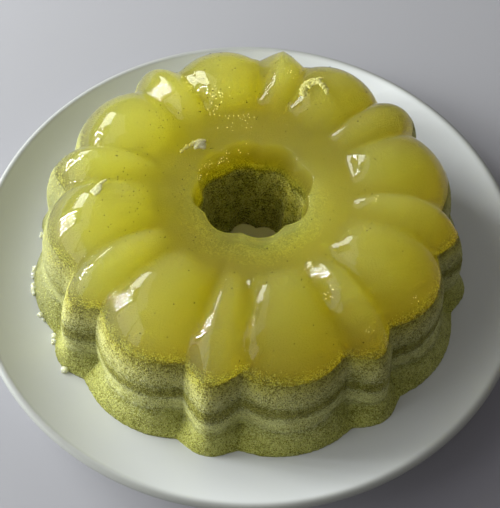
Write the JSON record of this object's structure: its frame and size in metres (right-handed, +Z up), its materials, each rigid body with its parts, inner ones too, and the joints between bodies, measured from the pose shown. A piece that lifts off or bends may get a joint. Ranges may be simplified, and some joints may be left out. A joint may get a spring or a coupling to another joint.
{
  "type": "moulded jelly ring on a plate",
  "caption": "Fluted ring of set jelly in layers, clear fruit jelly over speckled green ones, standing on the round coupe plate it is served on.",
  "frame": {"origin": "on the table, under the middle of the plate", "axes": "+Z up; +X to the right and +Y away from a viewer who stands in front"},
  "size_m": [0.2636, 0.2636, 0.0755],
  "materials": {
    "plate_glaze": "off-white glazed porcelain, smooth and softly glossy",
    "clear_jelly": "wet translucent yellow-green jelly, cloudy inside, with a few dark specks",
    "speckled_jelly": "pale grey-green jelly full of fine dark green specks, damp",
    "dark_jelly": "thin seam crowded with dark green specks, damp",
    "foot_jelly": "yellow-green speckled jelly with wet bright points"
  },
  "bodies": {
    "root": {"plate": "plate_glaze", "jelly_clear": "clear_jelly", "grain_upper": "speckled_jelly", "grain_dark": "dark_jelly", "grain_lower": "speckled_jelly", "grain_foot": "foot_jelly"}
  },
  "joints": []
}
